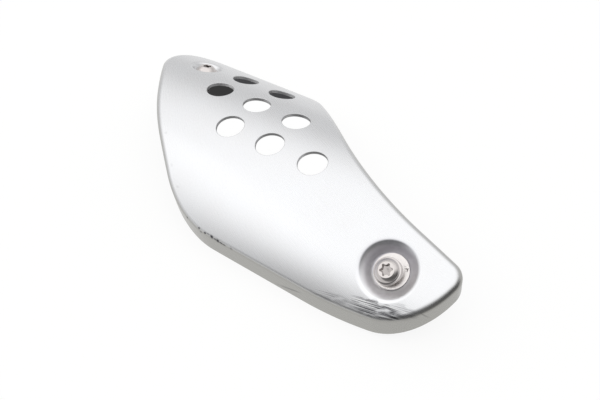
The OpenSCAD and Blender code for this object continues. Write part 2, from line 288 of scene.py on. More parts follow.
def addDish(net, dish, border, inside):  # down from the lip to the hole's edge, which it returns
    hollowEnd, wallEnd, lipEnd = dishLimits(dish)
    slope = math.radians(dish["slope"])
    lipSteps, slopeSteps, hollowSteps = sheet["lipSteps"], sheet["slopeSteps"], sheet["hollowSteps"]
    radii = [lipEnd - dish["lip"] * math.sin(slope * k / lipSteps) for k in range(1, lipSteps + 1)]
    radii += [wallEnd + (hollowEnd - wallEnd) * k / slopeSteps for k in range(1, slopeSteps)]
    radii += [dish["floorRadius"] + dish["hollow"] * math.sin(slope * (1 - k / hollowSteps))
              for k in range(hollowSteps + 1)]
    radii += [sheet["holeRadius"] + extra for extra in sheet["floorRings"]]
    x, s = dish["place"][0], skinR * math.radians(dish["place"][1])
    for radius in radii:
        ring = []
        for angle in around(sheet["dishSteps"]):
            place, normal = dishPoint(dish, radius, angle, sheet["thickness"] * inside)
            flat = (x + radius * math.cos(angle), s + radius * math.sin(angle))
            ring.append(net.add(place, normal * (1 - 2 * inside), flat, (0, inside, 0)))
        net.band(border, ring, flip=inside)
        border = ring
    return border


def addSkin(net, coords, triangles, loops, inside):  # outer side of the sheet, or its inner side
    ids = []
    for x, s in coords:
        normal = np.array([0, math.sin(s / skinR), math.cos(s / skinR)]) * (1 - 2 * inside)
        place = onSkin(x, s / skinR, sheet["thickness"] * inside)
        ids.append(net.add(place, normal, (x, s), (0, inside, 0)))
    for triangle in triangles:
        face = tuple(ids[k] for k in triangle)
        net.faces.append(face[::-1] if inside else face)
    borders = []
    for loop in loops:
        borders.append(ids[:len(loop)])
        ids = ids[len(loop):]
    holes = [addDish(net, dish, border, inside) for dish, border in zip(sheet["dishes"], borders[-2:])]
    return borders, holes


def addVentWalls(net, outerRings, innerRings):  # a small broken edge at each side, a straight wall between
    thick, edge, steps = sheet["thickness"], sheet["ventBreak"], sheet["cutSteps"]
    radius = sheet["ventDiameter"] / 2
    rings = [(radius + edge * (1 - math.sin(q)), edge * (1 - math.cos(q))) for q in quarterTurn[1:]]
    rings += [(radius, edge + (thick - 2 * edge) * k / steps) for k in range(1, steps + 1)]
    rings += [(radius + edge * (1 - math.cos(q)), thick - edge + edge * math.sin(q))
              for q in quarterTurn[1:-1]]
    for vent, previous, last in zip(ventPlaces(), outerRings, innerRings):
        base, along, across, up = seatFrame(vent)
        for ringRadius, depth in rings:
            ring = []
            for angle in around(sheet["circleSteps"]):
                lengthways, sideways = ringRadius * math.cos(angle), ringRadius * math.sin(angle)
                outerHeight = math.sqrt(skinR ** 2 - sideways ** 2) - skinR
                innerHeight = math.sqrt((skinR - thick) ** 2 - sideways ** 2) - skinR
                height = outerHeight + (innerHeight - outerHeight) * depth / thick
                place = base + along * lengthways + across * sideways + up * height
                flat = (vent[0] + lengthways, skinR * math.radians(vent[1]) + sideways)
                ring.append(net.add(place, (0, 0, 0), flat, (0, 0, 1)))
            net.band(previous, ring)
            previous = ring
        net.band(previous, last)


def addHoleWalls(net, outerRings, innerRings):  # straight through each dish's floor
    steps = sheet["holeSteps"]
    for outer, inner in zip(outerRings, innerRings):
        rings = [outer]
        for k in range(1, steps):
            ring = []
            for a, b in zip(outer, inner):
                place = net.points[a] + (net.points[b] - net.points[a]) * k / steps
                ring.append(net.add(place, (0, 0, 0), net.flat[a], (0, 0, 1)))
            rings.append(ring)
        rings.append(inner)
        for first, second in zip(rings, rings[1:]):
            net.band(first, second)


def rimRing(net, outline, starts, part, share, depth, inside):
    # part is the bend, the wall or the foot; share runs down the part, or is a height over the foot
    sign = 1 - 2 * inside
    ring = []
    for (x, y, outX, outY), (startX, startAngle) in zip(outline, starts):
        out = np.array([outX, outY, 0])
        bendMiddle = onSkin(startX, startAngle, sheet["bendRadius"])
        if part == "bend":
            up = np.array([0, math.sin(startAngle), math.cos(startAngle)])
            span = math.acos(up @ out)
            way = (up * math.sin((1 - share) * span) + out * math.sin(share * span)) / math.sin(span)
            place = bendMiddle + way * (sheet["bendRadius"] - depth)
            ring.append(net.add(place, way * sign, unroll(place), (share, inside, 0)))
            continue
        top = bendMiddle[2]
        bottom = axisZ + math.sqrt(skinR ** 2 - y ** 2) - sheet["rimDrop"]
        height = bottom + share if part == "foot" else top + (bottom + sheet["edgeBreak"] - top) * share
        place = np.array([x - depth * outX, y - depth * outY, height])
        normal = out * sign if part == "wall" else (0, 0, 0)
        ring.append(net.add(place, normal, unroll(place), (1, inside, 0)))
    return ring


def addRim(net, outline, starts, outer, inner):  # bend, wall, broken lower edge, and back up inside
    thick, edge = sheet["thickness"], sheet["edgeBreak"]
    bendSteps, wallSteps = sheet["bendSteps"], sheet["wallSteps"]
    rings = [("bend", k / bendSteps, 0.0, 0) for k in range(1, bendSteps + 1)]
    rings += [("wall", k / wallSteps, 0.0, 0) for k in range(1, wallSteps + 1)]
    rings += [("foot", edge * (1 - math.sin(q)), edge * (1 - math.cos(q)), 0) for q in quarterTurn[1:]]
    rings += [("foot", edge * (1 - math.cos(q)), thick - edge + edge * math.sin(q), 1)
              for q in quarterTurn[:-1]]
    rings += [("wall", 1 - k / wallSteps, thick, 1) for k in range(wallSteps)]
    rings += [("bend", 1 - k / bendSteps, thick, 1) for k in range(bendSteps)]
    previous = outer
    for part, share, depth, inside in rings:
        ring = rimRing(net, outline, starts, part, share, depth, inside)
        net.band(ring, previous)
        previous = ring
    net.band(inner, previous)


def buildSheet(material):
    outline = outlinePoints()
    bend = sheet["bendRadius"]
    starts = [(x - bend * outX, math.asin((y - bend * outY) / (skinR - bend)))
              for x, y, outX, outY in outline]  # where the bend leaves the skin
    ventRadius = sheet["ventDiameter"] / 2 + sheet["ventBreak"]
    loops = [np.array([(x, angle * skinR) for x, angle in starts])]
    loops += [circleLoop(place, ventRadius, sheet["circleSteps"]) for place in ventPlaces()]
    loops += [circleLoop(dish["place"], dishLimits(dish)[2], sheet["dishSteps"]) for dish in sheet["dishes"]]
    coords, triangles = skinNet(loops)
    net = SheetNet()
    outerBorders, outerHoles = addSkin(net, coords, triangles, loops, 0)
    innerBorders, innerHoles = addSkin(net, coords, triangles, loops, 1)
    addVentWalls(net, outerBorders[1:-2], innerBorders[1:-2])
    addHoleWalls(net, outerHoles, innerHoles)
    addRim(net, outline, starts, outerBorders[0], innerBorders[0])
    print("sheet:", len(net.points), "points,", len(net.faces), "faces")
    return makeObject("shieldSheet", net.points, net.faces, material, net.normals, net.flat, net.zones)


turnedEdges = {"mergeDistance": 1e-7, "sharpAngle": 38.0}  # for the collar and the screws; metres and degrees


def ringFaces(rings):  # faces between each ring of points and the next
    faces = []
    count = len(rings[0])
    for i in range(len(rings) - 1):
        for k in range(count):
            after = (k + 1) % count
            faces.append((i * count + k, i * count + after, (i + 1) * count + after, (i + 1) * count + k))
    return faces


def placeOnSeat(dish, shift, local):  # local heights count from the dish's floor
    base, along, across, up = seatFrame(dish["place"])
    return [base + along * (x + shift[0]) + across * (y + shift[1]) + up * (z - dish["depth"])
            for x, y, z in local]


def arcProfile(x, z, radius, start, end, steps):  # part of a circle in a profile, from start to end degrees
    angles = [math.radians(start + (end - start) * k / steps) for k in range(steps + 1)]
    return [(x + radius * math.cos(angle), z + radius * math.sin(angle)) for angle in angles]


def mergePoints(obj):  # closes the piece where rings meet, and marks its sharp edges
    work = bmesh.new()
    work.from_mesh(obj.data)
    bmesh.ops.remove_doubles(work, verts=work.verts, dist=turnedEdges["mergeDistance"])
    bmesh.ops.recalc_face_normals(work, faces=work.faces)
    for edge in work.edges:
        if len(edge.link_faces) == 2 and edge.calc_face_angle(0) > math.radians(turnedEdges["sharpAngle"]):
            edge.smooth = False
    work.to_mesh(obj.data)
    work.free()


collarSize = {
    "disc": 8.75, "discHeight": 1.2, "step": 5.5, "stepHeight": 2.6, "bore": 4.2, "turnSteps": 128,
    "lift": 0.02, "shift": (0.4, 0.3),  # off the dish's floor, and off its middle
    "boreEdge": 0.15, "stepEdge": 0.2, "stepFoot": 0.3, "discEdge": 0.25, "faceRings": (6.4, 7.4, 8.2),
    "hiddenEdge": (0.9, 0.6),  # chamfer underneath, inwards and upwards, clear of the dish's hollow
}


def buildCollar(name, dish, material):
    size = collarSize
    bore, step, disc = size["bore"], size["step"], size["disc"]
    boreEdge, discEdge = size["boreEdge"], size["discEdge"]
    stepEdge, stepFoot = size["stepEdge"], size["stepFoot"]
    inwards, upwards = size["hiddenEdge"]
    low = size["lift"]
    top = low + size["discHeight"]
    high = top + size["stepHeight"]
    profile = [(bore, high - boreEdge), (bore + boreEdge, high)]
    profile += arcProfile(step - stepEdge, high - stepEdge, stepEdge, 90, 0, 4)
    profile += arcProfile(step + stepFoot, top + stepFoot, stepFoot, 180, 270, 4)
    profile += [(radius, top) for radius in size["faceRings"]]
    profile += arcProfile(disc - discEdge, top - discEdge, discEdge, 90, 0, 5)
    profile += [(disc, low + upwards), (disc - inwards, low), (bore + boreEdge, low), (bore, low + boreEdge)]
    profile = profile[::-1] + [profile[-1]]
    angles = around(size["turnSteps"])
    rings = [[(r * math.cos(a), r * math.sin(a), z) for a in angles] for r, z in profile]
    local = [point for ring in rings for point in ring]
    faces = [face[::-1] for face in ringFaces(rings)]
    obj = makeObject(name, placeOnSeat(dish, size["shift"], local), faces, material,
                     flat=[p[:2] for p in local])
    mergePoints(obj)
    print("collar:", len(obj.data.polygons), "faces")
    return obj


screwSize = {
    "length": 16.0, "shank": 3.0, "neck": 2.4, "neckOver": 2.6, "turnSteps": 144,
    # thread: rings in one turn, then the shape of its crest and flank as shares of half a turn
    "pitch": 1.0, "threadDepth": 0.55, "threadRings": 7, "crestShare": 0.1, "flankShare": 0.75,
    "crestDrop": 0.02, "fadeLength": 1.2, "fadeOver": 0.3, "tipRings": (0.01, 1.2),
    "endDrop": 0.6, "endShare": 0.6,  # what the crest loses at the ends, and the groove's depth as a share
    "neckTop": 0.02, "neckRings": [(0.0, -0.25), (0.07, -0.07), (0.25, 0.0)], "seatRing": 5.0,
    "flange": 6.7, "flangeHeight": 1.1, "flangeFoot": 0.3, "flangeEdge": 0.42,
    # dome: both ends against the flange and the crown, and a soft swell between
    "crown": 3.8, "dome": 2.3, "domeFoot": (-0.75, 0.02), "domeTop": (0.12, -0.16), "swell": 0.05,
    "domeSteps": 12, "crownEdge": 0.25, "crownBack": 0.04,
    # six-lobed socket: radii of the tips, the roots and their arcs, and how far a tip's arc reaches
    "lobeTip": 3.15, "lobeRoot": 2.222, "tipArc": 0.507, "rootArc": 1.343, "tipReach": 10.1,
    "socketDepth": 2.8, "mouthLobes": 0.5, "mouthBack": 0.05,
    "mouthRings": [(0.12, 0.0), (0.06, 0.03), (0.0, 0.12)],  # opening and depth
    "wallRings": 4, "wallTaper": 0.01, "wallEnd": 0.5,
    "footRings": [(-0.10, 0.25, 1.0, 0.0), (-0.2, 0.2, 0.55, 1.4)],  # opening, height, lobes, round radius
    "floorRings": [(1.2, 0.1), (0.6, -0.1), (0.01, -0.2)],  # radius and height
}


def lobeRadius(angle, grow):  # edge of the socket: round tips joined by round roots, six to the turn
    size = screwSize
    tipArc, rootArc = size["tipArc"] + grow, size["rootArc"] - grow
    tipMiddle, rootMiddle = size["lobeTip"] - size["tipArc"], size["lobeRoot"] + size["rootArc"]
    off = abs((math.degrees(angle) + 30) % 60 - 30)  # degrees from the nearest tip
    if off < size["tipReach"]:
        q = math.radians(off)
        return tipMiddle * math.cos(q) + math.sqrt(max(tipArc ** 2 - (tipMiddle * math.sin(q)) ** 2, 0))
    q = math.radians(30 - off)
    return rootMiddle * math.cos(q) - math.sqrt(max(rootArc ** 2 - (rootMiddle * math.sin(q)) ** 2, 0))


def buildScrew(name, dish, lift, shift, twist, material):  # lift is the height of what lies under the head
    size = screwSize
    seat = collarSize["lift"] + lift
    length, depth = size["length"], size["socketDepth"]
    flange, flangeHeight = size["flange"], size["flangeHeight"]
    foot, edge, crownEdge = size["flangeFoot"], size["flangeEdge"], size["crownEdge"]
    top = flangeHeight + size["dome"]
    neckHeight = lift + size["neckOver"]
    angles = around(size["turnSteps"])
    rings, zones = [], []  # a zone holds how deep a ring lies in the socket

    def addRing(radii, z, deep=0.0):
        rings.append([(r * math.cos(a), r * math.sin(a), seat + z) for r, a in zip(radii, angles)])
        zones.append((deep, 0, 0))

    def roundRing(radius, z, deep=0.0):
        addRing([radius] * len(angles), z, deep)

    def lobedRing(grow, z, lobes=1.0, roundRadius=0.0):
        radii = [lobeRadius(a - twist, grow) * lobes + roundRadius * (1 - lobes) for a in angles]
        addRing(radii, z, (top - z) / depth)

    # thread: a helix with flat crests, faded out at both ends
    for radius in size["tipRings"]:
        roundRing(radius, -length)
    threadHeight = length - neckHeight
    count = int(threadHeight / size["pitch"] * size["threadRings"])
    for i in range(count + 1):
        z = -length + threadHeight * i / count
        fromEnds = min(z + length, size["fadeOver"] - neckHeight - z)
        fade = min(1.0, fromEnds / size["fadeLength"])
        crest = size["shank"] - size["crestDrop"] - size["endDrop"] * (1 - fade)
        groove = size["threadDepth"] * (1 - size["endShare"] * (1 - fade))
        radii = []
        for a in angles:
            phase = (z / size["pitch"] - a / (2 * math.pi)) % 1.0
            wave = (abs(phase - 0.5) * 2 - size["crestShare"]) / size["flankShare"]
            radii.append(crest - groove * max(0.0, min(1.0, wave)))
        addRing(radii, z)
    roundRing(size["neck"], size["neckTop"] - neckHeight)
    for out, z in size["neckRings"]:
        roundRing(size["neck"] + out, z)
    roundRing(size["seatRing"], 0.0)
    for radius, z in arcProfile(flange - foot, foot, foot, -90, 0, 5):
        roundRing(radius, z)
    for radius, z in arcProfile(flange - edge, flangeHeight - edge, edge, 0, 80, 6):
        roundRing(radius, z)
    # dome: up from the flange to the crown
    low = np.array([flange, flangeHeight]) + size["domeFoot"]
    span = np.array([size["crown"], top]) + size["domeTop"] - low
    for k in range(1, size["domeSteps"] + 1):
        u = k / size["domeSteps"]
        radius, z = low + span * u + np.array([span[1], -span[0]]) * size["swell"] * math.sin(math.pi * u)
        roundRing(radius, z)
    for radius, z in arcProfile(size["crown"] - size["crownBack"], top - crownEdge, crownEdge, 42, 90, 5):
        roundRing(radius, z)
    # socket: in from the crown, down the lobed wall and over its floor
    mouth = size["mouthRings"]
    lobedRing(mouth[0][0], top, size["mouthLobes"], size["crown"] - size["mouthBack"])
    for grow, below in mouth:
        lobedRing(grow, top - below)
    for k in range(1, size["wallRings"] + 1):
        fall = (depth - size["wallEnd"]) * k / size["wallRings"]
        lobedRing(-size["wallTaper"] * k, top - mouth[-1][1] - fall)
    for grow, over, lobes, roundRadius in size["footRings"]:
        lobedRing(grow, top - depth + over, lobes, roundRadius)
    for radius, over in size["floorRings"]:
        roundRing(radius, top - depth + over, 1.0)
    local = [point for ring in rings for point in ring]
    obj = makeObject(name, placeOnSeat(dish, shift, local), ringFaces(rings), material,
                     flat=[p[:2] for p in local], zones=[zone for zone in zones for _ in angles])
    mergePoints(obj)
    print("screw:", name, len(obj.data.polygons), "faces")
    return obj


softStep = {"interpolation_type": "SMOOTHSTEP"}
inColour = {"data_type": "RGBA"}
onFlat = {"noise_dimensions": "2D"}
ownFrame = {"vector_type": "TEXTURE"}  # places in a mark's own turned and stretched frame


def softEllipse(tree, flat, place, size, turn, fade, depth):  # 0 outside, depth inside, with a soft edge
    local = addNode(tree, "Mapping", ownFrame,
                    {"Location": (place[0] * mm, place[1] * mm, 0), "Rotation": (0, 0, math.radians(turn)),
                     "Scale": (size[0] / 2 * mm, size[1] / 2 * mm, 1)}, {"Vector": flat})
    far = addNode(tree, "VectorMath", {"operation": "LENGTH"}, None, {0: local})
    return addNode(tree, "MapRange", softStep,
                   {"From Min": fade[0], "From Max": fade[1], "To Min": 0.0, "To Max": depth},
                   {"Value": far.outputs["Value"]})


def strongest(tree, shares):  # the largest of several shares
    result = shares[0]
    for share in shares[1:]:
        result = addNode(tree, "Math", {"operation": "MAXIMUM"}, None, {0: result, 1: share})
    return result


brushedSheet = {
    # the rim, inner and cut tones are painted shade: darker where the metal mirrors shaded floor or lies in
    # shade under the shield
    "metal": "#d4d5d7", "warm": "#d2d2d3", "rim": "#a5a4a0", "inner": "#77777a", "cut": "#c4c4c5",
    "cloudSize": 18.0, "rimFade": (0.1, 0.75),
    "roughness": 0.27, "pressedRough": 0.09, "scuffRough": 0.25, "plainRough": 0.2,
    # grain: wider than real brushing, because that is too fine to show
    "grainWidth": 0.2, "grainLength": 16.0, "grainSlope": 0.57, "grainCurve": -2.0, "grainFade": (0.3, 0.7),
    "streak": (0.98, 1.015), "roughSpread": (-0.02, 0.03), "bump": 0.07, "bumpDepth": 0.02,
    "pressed": [(87.4, -37.4, 13.5), (-91.0, 38.4, 10.0)],  # the dishes: x, place round the skin, reach
    "pressedFade": 3.0,
    "dishPaintedLight": "#f0f0f2", "dishPaintedShade": "#babac1", "dishWay": (-0.405, 0.914), "dishReach": 12.0,
    "darkMark": "#3c3c40", "brightMark": "#f4f4f4", "markFade": (1.3, 0.3),
    "marks": [  # x and place round the skin, length, width, turn in degrees, depth of tone
        (-9.6, -63.9, 2.8, 0.9, -8, 0.5), (-6.9, -64.3, 2.6, 1.9, -20, 1.0), (-4.4, -64.6, 2.6, 0.9, -6, 0.9),
        (-2.6, -64.7, 2.4, 1.8, -10, 1.0), (-0.3, -64.9, 2.6, 1.0, -4, 1.0), (1.8, -65.0, 2.6, 0.8, 0, 0.9),
        (-16.4, -63.5, 1.6, 1.3, 0, 0.9), (-14.9, -65.2, 1.5, 1.2, 0, 0.8), (-11.8, -64.3, 1.8, 1.3, 0, 1.0),
        (-26.2, -61.7, 1.4, 1.1, 0, 0.8), (6.7, -64.9, 2.0, 0.9, 0, 0.6),
        (43.2, -70.4, 16.0, 0.8, 12.6, 0.55), (45.6, -69.6, 12.5, 0.6, 12.5, 0.5),
        (111.2, -48.5, 3.4, 0.8, -9, 0.35), (-65.7, -25.3, 2.4, 1.8, 20, 0.1),
        (-49.9, -40.1, 2.6, 1.6, -35, 0.1), (-39.5, -49.2, 2.4, 1.6, 10, 0.1),
        (-8.4, 48.9, 2.6, 1.6, 0, 0.14), (10.4, 31.8, 2.4, 1.4, 0, 0.12)],
    "scuffs": [  # x, place round the skin, length, width and turn of the patch, then its lines' size, depth
        (90.5, -56.0, 30.0, 9.6, 11.5, 7.0, 0.42, 1.0), (102.5, -51.3, 14.0, 7.0, 12, 9.0, 0.4, 0.5),
        (68.0, -61.4, 25.0, 5.0, 12, 7.0, 0.42, 0.4)],
    # fades of the patch, of the gaps between its lines, and of its dark and bright lines
    "patchFade": (1.15, 0.55), "gapFade": (0.36, 0.52), "darkFade": (0.55, 0.45), "brightFade": (0.58, 0.66),
    "lineStretch": 4, "gapWidth": 7, "brightShare": 0.8, "dulled": 0.25,
}


def brushedAluminium():
    # satin brushed aluminium sheet: faint streaks that fan out a little, over a soft and even shine
    material, tree = newMaterial("brushedAluminiumSheet")
    look = brushedSheet
    flat = addNode(tree, "UVMap", {"uv_map": "flatPlace"})
    place = addNode(tree, "SeparateXYZ", None, None, {0: flat})
    zone = addNode(tree, "Attribute", {"attribute_name": "zone"})
    shares = addNode(tree, "SeparateXYZ", None, None, {0: zone.outputs["Vector"]})
    rimShare, innerShare, cutShare = shares.outputs
    # the grain lines fan out from end to end, so the place across them is bent with x
    bend = addNode(tree, "Math", {"operation": "MULTIPLY_ADD"},
                   {1: look["grainCurve"], 2: look["grainSlope"]}, {0: place})
    across = addNode(tree, "Math", {"operation": "MULTIPLY_ADD"}, None,
                     {0: place, 1: bend, 2: place.outputs[1]})
    grain = addNode(tree, "CombineXYZ", None, None, {0: place, 1: across})
    grain = addNode(tree, "Mapping", ownFrame,
                    {"Scale": (look["grainLength"] * mm, look["grainWidth"] * mm, 1)}, {"Vector": grain})
    grain = addNode(tree, "TexNoise", onFlat, {"Scale": 1.0, "Detail": 3.0, "Roughness": 0.6},
                    {"Vector": grain})
    cloud = addNode(tree, "TexNoise", onFlat, {"Scale": 1 / (look["cloudSize"] * mm), "Detail": 2.0},
                    {"Vector": flat})
    tone = addNode(tree, "Mix", inColour, {6: linear(look["metal"]), 7: linear(look["warm"])}, {0: cloud})
    # painted shade: the rim and its bend are painted a darker grey, standing in for the shaded floor that
    # they mirror
    rim = addNode(tree, "MapRange", softStep,
                  {"From Min": look["rimFade"][0], "From Max": look["rimFade"][1]}, {"Value": rimShare})
    tone = addNode(tree, "Mix", inColour, {7: linear(look["rim"])}, {0: rim, 6: tone.outputs[2]})
    # pressing has smoothed the grain away in the two dishes
    discs = []
    fade = look["pressedFade"]
    for x, s, reach in look["pressed"]:
        far = addNode(tree, "VectorMath", {"operation": "DISTANCE"}, {1: (x * mm, s * mm, 0)}, {0: flat})
        disc = {"From Min": (reach + fade) * mm, "From Max": (reach - fade) * mm}
        discs.append(addNode(tree, "MapRange", softStep, disc, {"Value": far.outputs["Value"]}))
    pressed = strongest(tree, discs)
    grain = addNode(tree, "Mix", None, {3: 0.5}, {0: pressed, 2: grain})
    grainLow, grainHigh = look["grainFade"]
    streak = addNode(tree, "MapRange", None,
                     {"From Min": grainLow, "From Max": grainHigh,
                      "To Min": look["streak"][0], "To Max": look["streak"][1]}, {"Value": grain})
    rough = addNode(tree, "MapRange", None,
                    {"From Min": grainLow, "From Max": grainHigh,
                     "To Min": look["roughness"] + look["roughSpread"][0],
                     "To Max": look["roughness"] + look["roughSpread"][1]}, {"Value": grain})
    colour = addNode(tree, "Mix", {"data_type": "RGBA", "blend_type": "MULTIPLY"}, {0: 1.0},
                     {6: tone.outputs[2], 7: streak})
    # painted light and shade: the deep dish is painted paler on its low side and darker on its high side
    wayX, wayS = look["dishWay"]
    seat = (wayX * look["pressed"][0][0] + wayS * look["pressed"][0][1]) * mm
    reach = look["dishReach"] * mm
    dishShadeRise = addNode(tree, "VectorMath", {"operation": "DOT_PRODUCT"}, {1: (wayX, wayS, 0)}, {0: flat})
    dishShadeRise = addNode(tree, "MapRange", softStep, {"From Min": seat - reach, "From Max": seat + reach},
                   {"Value": dishShadeRise.outputs["Value"]})
    wall = addNode(tree, "Mix", inColour, {6: linear(look["dishPaintedLight"]), 7: linear(look["dishPaintedShade"])},
                   {0: dishShadeRise})
    deep = addNode(tree, "Math", {"operation": "GREATER_THAN"}, {1: 0.0}, {0: place})
    deep = addNode(tree, "Math", {"operation": "MULTIPLY"}, None, {0: deep, 1: pressed})
    colour = addNode(tree, "Mix", inColour, None, {0: deep, 6: colour.outputs[2], 7: wall.outputs[2]})
    # single nicks and scratches
    darks = [softEllipse(tree, flat, (x, s), (length, width), turn, look["markFade"], depth)
             for x, s, length, width, turn, depth in look["marks"]]
    # scuffed patches: short dark and bright lines that all run one way
    brights = []
    for x, s, length, width, turn, lineLength, lineWidth, depth in look["scuffs"]:
        patch = softEllipse(tree, flat, (x, s), (length, width), turn, look["patchFade"], 1.0)
        frameHere = {"Location": (x * mm, s * mm, 0), "Rotation": (0, 0, math.radians(turn))}
        lineScale = (look["lineStretch"] * lineLength * mm, lineWidth * mm, 1)
        gapScale = (lineLength * mm, look["gapWidth"] * lineWidth * mm, 1)
        lines = addNode(tree, "Mapping", ownFrame, {**frameHere, "Scale": lineScale}, {"Vector": flat})
        lines = addNode(tree, "TexNoise", onFlat, {"Scale": 1.0, "Detail": 2.0, "Roughness": 0.5},
                        {"Vector": lines})
        gaps = addNode(tree, "Mapping", ownFrame, {**frameHere, "Scale": gapScale}, {"Vector": flat})
        gaps = addNode(tree, "TexNoise", onFlat, {"Scale": 1.0, "Detail": 1.0}, {"Vector": gaps})
        gaps = addNode(tree, "MapRange", softStep,
                       {"From Min": look["gapFade"][0], "From Max": look["gapFade"][1]}, {"Value": gaps})
        patch = addNode(tree, "Math", {"operation": "MULTIPLY"}, None, {0: patch, 1: gaps})
        for kept, fade, level in ((darks, look["darkFade"], depth),
                                  (brights, look["brightFade"], look["brightShare"] * depth)):
            line = addNode(tree, "MapRange", softStep,
                           {"From Min": fade[0], "From Max": fade[1], "To Min": 0.0, "To Max": level},
                           {"Value": lines})
            kept.append(addNode(tree, "Math", {"operation": "MULTIPLY"}, None, {0: line, 1: patch}))
        dulled = addNode(tree, "Math", {"operation": "MULTIPLY"}, {1: look["dulled"] * depth}, {0: patch})
        darks.append(dulled)
    bright = strongest(tree, brights)
    # last the marks, and the hidden inner side and the cut walls: these are painted darker, as painted shade
    # of the enclosed underside, and are rougher than the brushed face
    for name, share in (("darkMark", strongest(tree, darks)), ("brightMark", bright),
                        ("inner", innerShare), ("cut", cutShare)):
        colour = addNode(tree, "Mix", inColour, {7: linear(look[name])}, {0: share, 6: colour.outputs[2]})
    plain = strongest(tree, [innerShare, cutShare])
    for name, share in (("plainRough", plain), ("scuffRough", bright), ("pressedRough", pressed)):
        rough = addNode(tree, "Math", {"operation": "MULTIPLY_ADD"}, {1: look[name]}, {0: share, 2: rough})
    bump = addNode(tree, "Bump", None, {"Strength": look["bump"], "Distance": look["bumpDepth"] * mm},
                   {"Height": grain})
    shader = addNode(tree, "BsdfPrincipled", None, {"Metallic": 1.0},
                     {"Base Color": colour.outputs[2], "Roughness": rough, "Normal": bump})
    addNode(tree, "OutputMaterial", None, None, {"Surface": shader})
    return material


turnedFinish = {  # the rings are a little coarser than a real turning feed, so that they show
    "ringWidth": 0.18, "ringFade": (0.3, 0.7), "ringTone": (0.93, 1.05), "bump": 0.15, "bumpDepth": 0.02,
    "cloudSize": 0.9, "cloudFade": (0.3, 0.7), "roughSpread": (-0.04, 0.08),
    # the grime colour serves the real stain beside the screw and also paints the shade deep in the socket
    "grime": "#3b3330", "grimePlace": (5.9, 4.3), "grimeSize": (2.6, 4.2), "grimeTurn": 36.7,
    "grimeFade": (1.2, 0.3), "fleckFade": (0.5, 0.6), "socketFade": (0.25, 1.0), "socketShade": 0.35,
    "collar": {"metal": "#d2cecc", "roughness": 0.3, "grime": 0.9},
    "screw": {"metal": "#c4bfbd", "roughness": 0.13, "grime": 0.0},
}


def turnedSteel(name, metal, roughness, grime):
    # turned stainless steel: faint rings round the axis, a hard warm shine, a flecked grime stain, and
    # painted shade in the socket
    material, tree = newMaterial(name)
    look = turnedFinish
    flat = addNode(tree, "UVMap", {"uv_map": "flatPlace"})
    zone = addNode(tree, "Attribute", {"attribute_name": "zone"})
    socketShare = addNode(tree, "SeparateXYZ", None, None, {0: zone.outputs["Vector"]})
    radius = addNode(tree, "VectorMath", {"operation": "LENGTH"}, None, {0: flat})
    rings = addNode(tree, "Math", {"operation": "DIVIDE"}, {1: look["ringWidth"] * mm},
                    {0: radius.outputs["Value"]})
    rings = addNode(tree, "TexNoise", {"noise_dimensions": "1D"}, {"Scale": 1.0, "Detail": 2.0}, {"W": rings})
    cloud = addNode(tree, "TexNoise", onFlat, {"Scale": 1 / (look["cloudSize"] * mm), "Detail": 4.0},
                    {"Vector": flat})
    tone = addNode(tree, "MapRange", None,
                   {"From Min": look["ringFade"][0], "From Max": look["ringFade"][1],
                    "To Min": look["ringTone"][0], "To Max": look["ringTone"][1]}, {"Value": rings})
    colour = addNode(tree, "Mix", {"data_type": "RGBA", "blend_type": "MULTIPLY"}, {0: 1.0, 6: linear(metal)},
                     {7: tone})
    rough = addNode(tree, "MapRange", None,
                    {"From Min": look["cloudFade"][0], "From Max": look["cloudFade"][1],
                     "To Min": roughness + look["roughSpread"][0],
                     "To Max": roughness + look["roughSpread"][1]},
                    {"Value": cloud})
    # one flecked stain beside the screw, and painted shade towards the socket's floor
    stain = softEllipse(tree, flat, look["grimePlace"], look["grimeSize"], look["grimeTurn"],
                        look["grimeFade"], grime)
    flecks = addNode(tree, "MapRange", softStep,
                     {"From Min": look["fleckFade"][0], "From Max": look["fleckFade"][1]}, {"Value": cloud})
    stain = addNode(tree, "Math", {"operation": "MULTIPLY"}, None, {0: stain, 1: flecks})
    deep = addNode(tree, "MapRange", softStep,
                   {"From Min": look["socketFade"][0], "From Max": look["socketFade"][1],
                    "To Min": 0.0, "To Max": look["socketShade"]}, {"Value": socketShare})
    grimeAndShade = strongest(tree, [stain, deep])
    colour = addNode(tree, "Mix", inColour, {7: linear(look["grime"])}, {0: grimeAndShade, 6: colour.outputs[2]})
    bump = addNode(tree, "Bump", None, {"Strength": look["bump"], "Distance": look["bumpDepth"] * mm},
                   {"Height": rings})
    shader = addNode(tree, "BsdfPrincipled", None, {"Metallic": 1.0},
                     {"Base Color": colour.outputs[2], "Roughness": rough, "Normal": bump})
    addNode(tree, "OutputMaterial", None, None, {"Surface": shader})
    return material


sheetMetal = brushedAluminium()
collarMetal = turnedSteel("turnedStainlessCollar", **turnedFinish["collar"])
screwMetal = turnedSteel("polishedStainlessScrew", **turnedFinish["screw"])
print("materials made")

wideDish, narrowDish = sheet["dishes"]
shield = buildSheet(sheetMetal)
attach(shield, "root")
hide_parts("shield")
collar = buildCollar("narrowEndCollar", narrowDish, collarMetal)
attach(collar, "root")
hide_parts("narrow_end_collar")
collarTop = collarSize["lift"] + collarSize["discHeight"] + collarSize["stepHeight"]
for name, node, dish, lift, shift, twist in (  # twist turns the socket, in radians
        ("wideEndScrew", "wide_end_screw", wideDish, 0.0, (0, 0), 0.35),
        ("narrowEndScrew", "narrow_end_screw", narrowDish, collarTop, (-0.1, -0.7), 0.52)):
    screw = buildScrew(name, dish, lift, shift, twist, screwMetal)
    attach(screw, "root")
    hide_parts(node)
print("pieces built")

